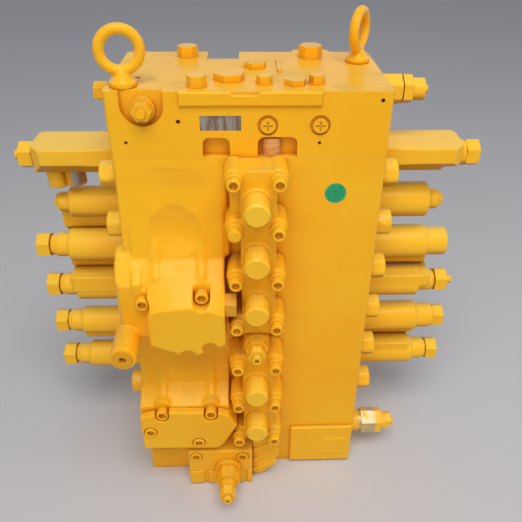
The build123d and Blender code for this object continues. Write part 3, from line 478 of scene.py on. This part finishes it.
# Castings, with the soft edges and slight waves that sand moulds leave:
# size of the voxels, rounds of smoothing and height of the waves
castings = {
    "front_housing": {"voxel": 0.0015, "rounds": 10, "lump": 0.0007},
    "lower_housing": {"voxel": 0.0015, "rounds": 9, "lump": 0.0007},
    "lower_cover": {"voxel": 0.0012, "rounds": 3, "lump": 0.0003},
    "upper_column_plate": {"voxel": 0.0012, "rounds": 5, "lump": 0.0005},
    "lower_column_plate": {"voxel": 0.0012, "rounds": 5, "lump": 0.0005},
    "ribbed_connector": {"voxel": 0.0012, "rounds": 5, "lump": 0.0006},
    "cap_webs": {"voxel": 0.0016, "rounds": 6, "lump": 0.0006},
    "bottom_valve_block": {"voxel": 0.0012, "rounds": 2, "lump": 0.0002},
    "corner_plate": {"voxel": 0.0010, "rounds": 3, "lump": 0.0002},
    "eyebolts": {"voxel": 0.0011, "rounds": 6, "lump": 0.0004},
}
for row in ("left", "right"):
    for number in range(1, 7):
        castings[row + "_cap_" + str(number)] = {"voxel": 0.0015, "rounds": 3, "lump": 0.0004}

waveScale = 0.035

# Ridges that stand a few millimetres out of the housings, each (x, radius, points as (y, z))
ridges = {
    "front_housing": [
        (-0.069, 0.0115, [(-0.138, 0.434), (-0.120, 0.4495), (-0.108, 0.478), (-0.099, 0.502)]),
        (-0.133, 0.0112, [(-0.140, 0.4325), (-0.121, 0.4485), (-0.109, 0.476), (-0.098, 0.498)]),
        (-0.037, 0.008, [(-0.096, 0.585), (-0.102, 0.520), (-0.112, 0.462)]),
        (-0.172, 0.007, [(-0.112, 0.468), (-0.103, 0.474)]),
    ],
    "lower_housing": [
        (-0.066, 0.0115, [(-0.126, 0.196), (-0.1105, 0.2065), (-0.101, 0.2305), (-0.094, 0.253)]),
        (-0.144, 0.0115, [(-0.126, 0.196), (-0.1105, 0.2065), (-0.101, 0.2305), (-0.094, 0.253)]),
        (-0.171, 0.008, [(-0.138, 0.186), (-0.116, 0.203), (-0.103, 0.230)]),
    ],
}

# Blocks hidden in the body behind each thin housing top, so that softening doesn't eat the wedge
backings = {
    "front_housing": {"left": -0.177, "right": -0.038, "low": 0.36, "high": 0.5985},
    "lower_housing": {"left": -0.176, "right": -0.040, "low": 0.12, "high": 0.262},
}
backingDepth = 0.014

# The shallow round dish in the front housing
dish = {"x": -0.104, "z": 0.555, "halfWidth": 0.046, "halfHeight": 0.038, "deep": 0.003}

# The arched edge between the slope and the face of the front housing
arch = {
    "x": -0.0910,
    "halfWidth": 0.0540,
    "left": 0.0095,  # how far it falls at its left end
    "right": 0.0145,
    "topY": -0.124,  # where the lower slope starts
    "topZ": 0.4580,
    "edgeY": -0.178,  # where the straight edge would be
    "edgeZ": 0.4090,
    "fade": 0.012,  # how deep the press reaches into the casting
}


def addBlock(work, low, high):
    middle = (Vector(low) + Vector(high)) / 2
    size = Vector(high) - Vector(low)
    made = bmesh.ops.create_cube(work, size=1.0)["verts"]
    bmesh.ops.scale(work, verts=made, vec=size)
    bmesh.ops.translate(work, verts=made, vec=middle)


def pressDish(mesh):
    # Pushes the middle of the upper slope in, but never behind the body's face
    for vert in mesh.vertices:
        away = math.hypot((vert.co.x - dish["x"]) / dish["halfWidth"], (vert.co.z - dish["z"]) / dish["halfHeight"])
        if away < 1 and vert.co.y < frontY - 0.001:
            vert.co.y = min(vert.co.y + dish["deep"] * (1 - away * away), frontY - 0.0004)


def pressArch(mesh):
    # Tilts the slope back towards its sides, most at its lower edge
    run = arch["topZ"] - arch["edgeZ"]
    rise = arch["topY"] - arch["edgeY"]
    for vert in mesh.vertices:
        across = (vert.co.x - arch["x"]) / arch["halfWidth"]
        below = arch["topZ"] - vert.co.z
        if abs(across) < 1.15 and below > 0:
            fall = arch["left" if across < 0 else "right"] * across * across
            before = rise * min(below / run, 1)
            after = rise * min(below / (run + fall), 1)
            behind = vert.co.y - (arch["topY"] - before)
            vert.co.y += (before - after) * max(0, min(1, 1 - behind / arch["fade"]))


def addBar(work, start, end, radius):
    # A round bar with ball ends
    for place in (start, end):
        bmesh.ops.create_icosphere(work, subdivisions=3, radius=radius, matrix=Matrix.Translation(place))
    along = end - start
    turn = along.to_track_quat("Z", "Y").to_matrix().to_4x4()
    middle = Matrix.Translation((start + end) / 2) @ turn
    bmesh.ops.create_cone(
        work, cap_ends=True, segments=32, radius1=radius, radius2=radius, depth=along.length, matrix=middle
    )


def castSkin(nodeName, values):
    # A softened copy of a CAD casting, which takes its place
    work = mergedCopy(nodeName)
    for x, radius, points in ridges.get(nodeName, []):
        places = [Vector((x, y, z)) for y, z in points]
        for start, end in zip(places, places[1:]):
            addBar(work, start, end, radius)
    if nodeName in backings:
        back = backings[nodeName]
        low = (back["left"], frontY - 0.0002, back["low"])
        addBlock(work, low, (back["right"], frontY + backingDepth, back["high"]))
    mesh = bpy.data.meshes.new(nodeName + "Rough")
    work.to_mesh(mesh)
    work.free()
    rough = bpy.data.objects.new(nodeName + "Rough", mesh)
    scene.collection.objects.link(rough)
    remesh = rough.modifiers.new("remesh", "REMESH")
    remesh.mode = "VOXEL"
    remesh.voxel_size = values["voxel"]
    soften = rough.modifiers.new("soften", "SMOOTH")
    soften.factor = 0.5
    soften.iterations = values["rounds"]
    waves = bpy.data.textures.new(nodeName + "Waves", "CLOUDS")
    waves.noise_scale = waveScale
    uneven = rough.modifiers.new("uneven", "DISPLACE")
    uneven.texture = waves
    uneven.texture_coords = "LOCAL"
    uneven.mid_level = 0.5
    uneven.strength = values["lump"]
    mesh = frozen(rough, nodeName + "Skin")
    if nodeName == "front_housing":
        pressDish(mesh)
        pressArch(mesh)
    placePiece(nodeName + "Skin", mesh, finishOf[nodeName], True, [nodeName])
    return len(mesh.polygons)


faces = 0
for nodeName, values in castings.items():
    count = castSkin(nodeName, values)
    faces += count
    print("casting", nodeName, count)
print("castings dressed", faces)


# Repeated fasteners by Geometry Nodes: their shapes in radii and half flats, and how each is repeated
socketScrew = {"head": 0.009, "height": 0.012, "shank": 0.006, "reach": 0.034, "socket": 0.0048, "deep": 0.0055}
hexPlug = {"flats": 0.018, "chamfer": 0.0185, "thread": 0.0134, "collar": 0.0172, "reach": 0.02}
repeats = {
    "columnSocketScrews": {"node": "column_screws", "roll": math.pi, "seed": 5, "size": 1.0},
    "housingSocketScrews": {"node": "housing_screws", "roll": math.pi, "seed": 6, "size": 1.1},
    "hexSidePlugs": {"node": "side_plugs", "roll": 1.0, "seed": 9, "size": 1.0},
}
sharpAngle = 38


def screwShape(values):
    head, shank, socket = values["head"], values["shank"], values["socket"]
    rings = [
        (None, shank, values["reach"]),
        (None, shank, values["height"]),
        (None, head * 0.95, values["height"]),
        (None, head, values["height"] - 0.0005),
        (None, head, 0.0022),
        (None, head * 0.985, 0.0011),
        (None, head * 0.94, 0.0004),
        (None, head * 0.87, 0.0),
        (socket * 1.16, None, 0.0),
        (socket * 1.02, None, 0.0007),
        (socket, None, values["deep"] - 0.001),
        (socket * 0.8, None, values["deep"]),
    ]
    return ringMesh(rings, 36)


def plugShape(values, length):
    flats, chamfer, collar = values["flats"], values["chamfer"], values["collar"]
    rings = [
        (None, values["thread"], length + values["reach"]),
        (None, values["thread"], length),
        (None, collar, length),
        (None, collar, length - 0.0016),
        (flats, chamfer, length - 0.0017),
        (flats, chamfer * 1.06, length - 0.0036),
        (flats, chamfer * 1.06, 0.0030),
        (flats, chamfer, 0.0012),
        (None, collar * 0.98, 0.0003),
        (None, collar * 0.93, 0.0),
    ]
    return ringMesh(rings, 48)


def repeatTree(name, shape, finish):
    # Puts the shape on every point, aimed by the point's own turn and rolled at random
    tree = bpy.data.node_groups.new(name, "GeometryNodeTree")
    face = tree.interface
    face.new_socket(name="Points", in_out="INPUT", socket_type="NodeSocketGeometry")
    face.new_socket(name="Size", in_out="INPUT", socket_type="NodeSocketFloat").default_value = 1.0
    face.new_socket(name="Roll", in_out="INPUT", socket_type="NodeSocketFloat").default_value = math.pi
    face.new_socket(name="Seed", in_out="INPUT", socket_type="NodeSocketInt").default_value = 3
    face.new_socket(name="Result", in_out="OUTPUT", socket_type="NodeSocketGeometry")
    add = tree.nodes.new
    link = tree.links.new
    given = add("NodeGroupInput")
    info = add("GeometryNodeObjectInfo")
    info.inputs["Object"].default_value = shape
    aim = add("GeometryNodeInputNamedAttribute")
    aim.data_type = "FLOAT_VECTOR"
    aim.inputs["Name"].default_value = "aim"
    place = add("GeometryNodeInstanceOnPoints")
    roll = add("FunctionNodeRandomValue")
    link(given.outputs["Roll"], roll.inputs["Max"])
    link(given.outputs["Seed"], roll.inputs["Seed"])
    about = add("ShaderNodeCombineXYZ")
    link(roll.outputs["Value"], about.inputs["Y"])
    turned = add("GeometryNodeRotateInstances")
    link(given.outputs["Points"], place.inputs["Points"])
    link(info.outputs["Geometry"], place.inputs["Instance"])
    link(aim.outputs["Attribute"], place.inputs["Rotation"])
    link(given.outputs["Size"], place.inputs["Scale"])
    link(place.outputs["Instances"], turned.inputs["Instances"])
    link(about.outputs["Vector"], turned.inputs["Rotation"])
    real = add("GeometryNodeRealizeInstances")
    coat = add("GeometryNodeSetMaterial")
    coat.inputs["Material"].default_value = finish
    result = add("NodeGroupOutput")
    link(turned.outputs["Instances"], real.inputs["Geometry"])
    link(real.outputs["Geometry"], coat.inputs["Geometry"])
    link(coat.outputs["Geometry"], result.inputs["Result"])
    return tree


def repeatPiece(name, work, places):
    values = repeats[name]
    node = values["node"]
    shapeMesh = bpy.data.meshes.new(name + "Shape")
    work.to_mesh(shapeMesh)
    work.free()
    shape = bpy.data.objects.new(name + "Shape", shapeMesh)
    points = bpy.data.meshes.new(name + "Points")
    points.from_pydata([tuple(place) for place, aim in places], [], [])
    aims = points.attributes.new("aim", "FLOAT_VECTOR", "POINT")
    for k, (place, aim) in enumerate(places):
        aims.data[k].vector = aim
    holder = bpy.data.objects.new(name + "Points", points)
    scene.collection.objects.link(holder)
    tree = repeatTree(name + "Tree", shape, finishOf[node])
    modifier = holder.modifiers.new("repeat", "NODES")
    modifier.node_group = tree
    inputs = {"Roll": values["roll"], "Seed": values["seed"], "Size": values["size"]}
    for item in tree.interface.items_tree:
        if item.in_out == "INPUT" and item.name in inputs:
            modifier[item.identifier] = inputs[item.name]
    mesh = frozen(holder, name)
    bpy.data.objects.remove(shape)
    mesh.validate()
    placePiece(name, mesh, finishOf[node], True, [node])
    mesh.set_sharp_from_angle(angle=math.radians(sharpAngle))


def frontPlaces(nodeName):
    # The front middle of each solid of a node, aimed forwards
    places = []
    for low, high in looseBoxes(nodeName):
        middle = (low + high) / 2
        places.append((Vector((middle.x, low.y, middle.z)), (0, 0, 0)))
    return places


def sidePlaces(nodeName):
    # The outer middle of each solid of a node, aimed to its own side
    places = []
    for low, high in looseBoxes(nodeName):
        middle = (low + high) / 2
        if middle.x > 0:
            places.append((Vector((high.x, middle.y, middle.z)), (0, 0, math.pi / 2)))
        else:
            places.append((Vector((low.x, middle.y, middle.z)), (0, 0, -math.pi / 2)))
    return places


columnPlaces = frontPlaces("column_screws")
housingPlaces = frontPlaces("housing_screws")
plugPlaces = sidePlaces("side_plugs")
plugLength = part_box("side_plugs")[1][0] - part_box("valve_body")[1][0]
repeatPiece("columnSocketScrews", screwShape(socketScrew), columnPlaces)
repeatPiece("housingSocketScrews", screwShape(socketScrew), housingPlaces)
repeatPiece("hexSidePlugs", plugShape(hexPlug, plugLength), plugPlaces)
print("fasteners repeated", len(columnPlaces), len(housingPlaces), len(plugPlaces))


# Small pieces that only the picture needs, each with its dictionary
disc = {
    "centre": (0.1156, frontY, 0.547),
    "radius": 0.0148,
    "thick": 0.0003,
    "green": (22, 146, 92),
    "lighter": (30, 166, 110),
    "rim": (96, 190, 150),
    "scuff": (150, 205, 176),
}


def vinyl(name, values):
    # Thin green vinyl with a paler rim
    graph = newGraph(name)
    centre, radius = values["centre"], values["radius"]
    x, y, z = graph.parts(graph.place())
    away = ((x - centre[0]) * (x - centre[0]) + (z - centre[2]) * (z - centre[2])).power(0.5)
    rim = away.between(radius * 0.86, radius * 0.9) * (1 - away.between(radius * 0.94, radius * 0.98))
    mottle = graph.noise(180.0, 5.0, 0.65)
    scuff = graph.noise(420.0, 3.0, 0.7).between(0.6, 0.7) * 0.35
    base = graph.mix(mottle.between(0.35, 0.7), rgb(*values["green"]), rgb(*values["lighter"]))
    base = graph.mix(rim * 0.45, base, rgb(*values["rim"]))
    base = graph.mix(scuff, base, rgb(*values["scuff"]))
    return graph.finish(color=base, rough=mottle.spread(0.25, 0.45), normal=graph.bump(mottle, 0.15, 0.0004))


def discPiece(values):
    radius, thick = values["radius"], values["thick"]
    rings = [
        (None, radius, 0.0),
        (None, radius, -thick * 0.7),
        (None, radius - 0.0002, -thick),
        (None, radius * 0.5, -thick * 1.1),
    ]
    work = ringMesh(rings, 64)
    bmesh.ops.translate(work, verts=work.verts, vec=values["centre"])
    return addPiece("greenDisc", work, vinyl("greenVinyl", values), False)


recess = {
    "left": -0.063,
    "right": -0.011,
    "low": 0.6355,
    "high": 0.655,
    "floor": 0.0015,
    "thick": 0.0004,
    "steel": (158, 148, 138),
    "stain": (112, 82, 56),
    "shine": (196, 190, 182),
}


def bareSteel(name, values):
    # Bare steel, stained where water stood
    graph = newGraph(name)
    streaks = graph.noise(55.0, 4.0, 0.6, stretch=(3.0, 1.0, 0.35))
    grain = graph.noise(260.0, 2.0, 0.5, stretch=(1.0, 1.0, 9.0))
    base = graph.mix(streaks.between(0.38, 0.62), rgb(*values["steel"]), rgb(*values["stain"]))
    base = graph.mix(grain * 0.3, base, rgb(*values["shine"]))
    return graph.finish(color=base, rough=streaks.spread(0.34, 0.6), metal=0.55, normal=graph.bump(grain, 0.25, 0.0003))


def recessPiece(values):
    # The bare face in the shallow recess of the top block
    work = bmesh.new()
    bmesh.ops.create_cube(work, size=1.0)
    left, right, low, high = [values[key] for key in ("left", "right", "low", "high")]
    size = (right - left, values["thick"], high - low)
    middle = ((left + right) / 2, frontY + values["floor"], (low + high) / 2)
    bmesh.ops.scale(work, verts=work.verts, vec=size)
    bmesh.ops.translate(work, verts=work.verts, vec=middle)
    bmesh.ops.bevel(work, geom=work.edges[:], offset=0.0001, segments=2, affect="EDGES")
    return addPiece("bareRecess", work, bareSteel("bareSteel", values), False)


# The stub in the right arch and the second plug under the uppermost left cap
stub = {"x": 0.0285, "y": frontY + 0.0128, "radius": 0.0125, "low": 0.599, "high": 0.624}
drop = {"x": -0.289, "y": 0.004, "radius": 0.0150, "low": 0.512, "high": 0.549}
primerTones = {"dark": (206, 140, 74), "pale": (228, 170, 96)}


def primer(name, tones):
    # Reddish primer under a thin coat
    graph = newGraph(name)
    bands = graph.noise(30.0, 4.0, 0.6, stretch=(1.0, 1.0, 12.0))
    base = graph.mix(bands.between(0.35, 0.65), rgb(*tones["dark"]), rgb(*tones["pale"]))
    return graph.finish(color=base, rough=bands.spread(0.45, 0.65), normal=graph.softEdge(0.0008))


def uprightPiece(name, values, finish):
    # A short turned stub standing upright, rounded at both ends
    radius, low, high = values["radius"], values["low"], values["high"]
    rings = [
        (None, radius - 0.0015, low),
        (None, radius - 0.0004, low + 0.0005),
        (None, radius, low + 0.0016),
        (None, radius, high - 0.0016),
        (None, radius - 0.0005, high - 0.0005),
        (None, radius - 0.0018, high),
    ]
    work = ringMesh(rings, 40)
    bmesh.ops.rotate(work, verts=work.verts, cent=(0, 0, 0), matrix=Matrix.Rotation(math.pi / 2, 3, "X"))
    bmesh.ops.translate(work, verts=work.verts, vec=(values["x"], values["y"], 0))
    return addPiece(name, work, finish)


blank = {"x": -0.0212, "z": 0.5195, "radius": 0.0088, "rise": 0.0012}


def blankPiece(values):
    # A plain plug over the one screw place that has no socket
    middles = [place for place, aim in columnPlaces]
    nearest = min(middles, key=lambda v: math.hypot(v.x - values["x"], v.z - values["z"]))
    radius, rise = values["radius"], values["rise"]
    rings = [
        (None, radius, 0.004),
        (None, radius, -rise * 0.2),
        (None, radius - 0.0008, -rise * 0.8),
        (None, radius * 0.6, -rise),
    ]
    work = ringMesh(rings, 40)
    bmesh.ops.translate(work, verts=work.verts, vec=nearest)
    return addPiece("blankPlug", work, finishes["yellow_fitting"])


discPiece(disc)
blankPiece(blank)
recessPiece(recess)
uprightPiece("archStub", stub, primer("stubPrimer", primerTones))
uprightPiece("capDropPlug", drop, sideFitting)
print("small pieces placed")


# Floor, light and room
floor = {"size": 14, "colour": (205, 205, 208), "rough": 0.8, "specular": 0.2}
lights = {
    "ceilingBox": {
        "place": (0.1, -1.5, 3.1),
        "target": (0, 0, 0.4),
        "size": (2.2, 1.4),
        "power": 59,
        "tint": (1.0, 0.98, 0.95),
    },
    "frontBox": {
        "place": (-1.4, -3.0, 1.7),
        "target": (0, 0, 0.3),
        "size": (2.4, 1.8),
        "power": 17,
        "tint": (1.0, 0.98, 0.96),
    },
    "rightBox": {
        "place": (2.8, -0.9, 1.4),
        "target": (0, 0, 0.35),
        "size": (1.4, 1.8),
        "power": 16,
        "tint": (0.96, 0.98, 1.0),
    },
}
room = {"seen": (222, 223, 227), "seenStrength": 1.0, "fill": (226, 228, 235), "fillStrength": 0.34}


def floorPlane(values):
    mesh = bpy.data.meshes.new("floor")
    half = values["size"] / 2
    corners = [(-half, -half, 0), (half, -half, 0), (half, half, 0), (-half, half, 0)]
    mesh.from_pydata(corners, [], [(0, 1, 2, 3)])
    made = bpy.data.objects.new("floor", mesh)
    scene.collection.objects.link(made)
    graph = newGraph("floorFinish")
    finish = graph.finish(color=rgb(*values["colour"]), rough=values["rough"], specular=values["specular"])
    mesh.materials.append(finish)


def softBox(name, values):
    data = bpy.data.lights.new(name, "AREA")
    data.shape = "RECTANGLE"
    data.size, data.size_y = values["size"]
    data.energy = values["power"]
    data.color = values["tint"]
    lamp = bpy.data.objects.new(name, data)
    lamp.location = values["place"]
    aim = Vector(values["target"]) - Vector(values["place"])
    lamp.rotation_mode = "QUATERNION"
    lamp.rotation_quaternion = aim.to_track_quat("-Z", "Y")
    scene.collection.objects.link(lamp)


def paleRoom(values):
    # Camera, glossy and see-through rays meet the pale room, all others a weaker fill
    world = bpy.data.worlds.new("room")
    scene.world = world
    graph = Graph(world)
    graph.tree.nodes.clear()
    camera = graph.node("ShaderNodeLightPath", {}, {}, "Is Camera Ray")
    shown = camera.most(graph.other(camera, "Is Transmission Ray")).most(graph.other(camera, "Is Glossy Ray"))
    seen = {"Color": rgb(*values["seen"]), "Strength": values["seenStrength"]}
    fill = {"Color": rgb(*values["fill"]), "Strength": values["fillStrength"]}
    pale = graph.node("ShaderNodeBackground", {}, seen)
    weak = graph.node("ShaderNodeBackground", {}, fill)
    blend = graph.node("ShaderNodeMixShader", {}, {0: shown, 1: weak, 2: pale})
    graph.node("ShaderNodeOutputWorld", {}, {"Surface": blend})


floorPlane(floor)
for name, values in lights.items():
    softBox(name, values)
paleRoom(room)
print("stage and light ready")
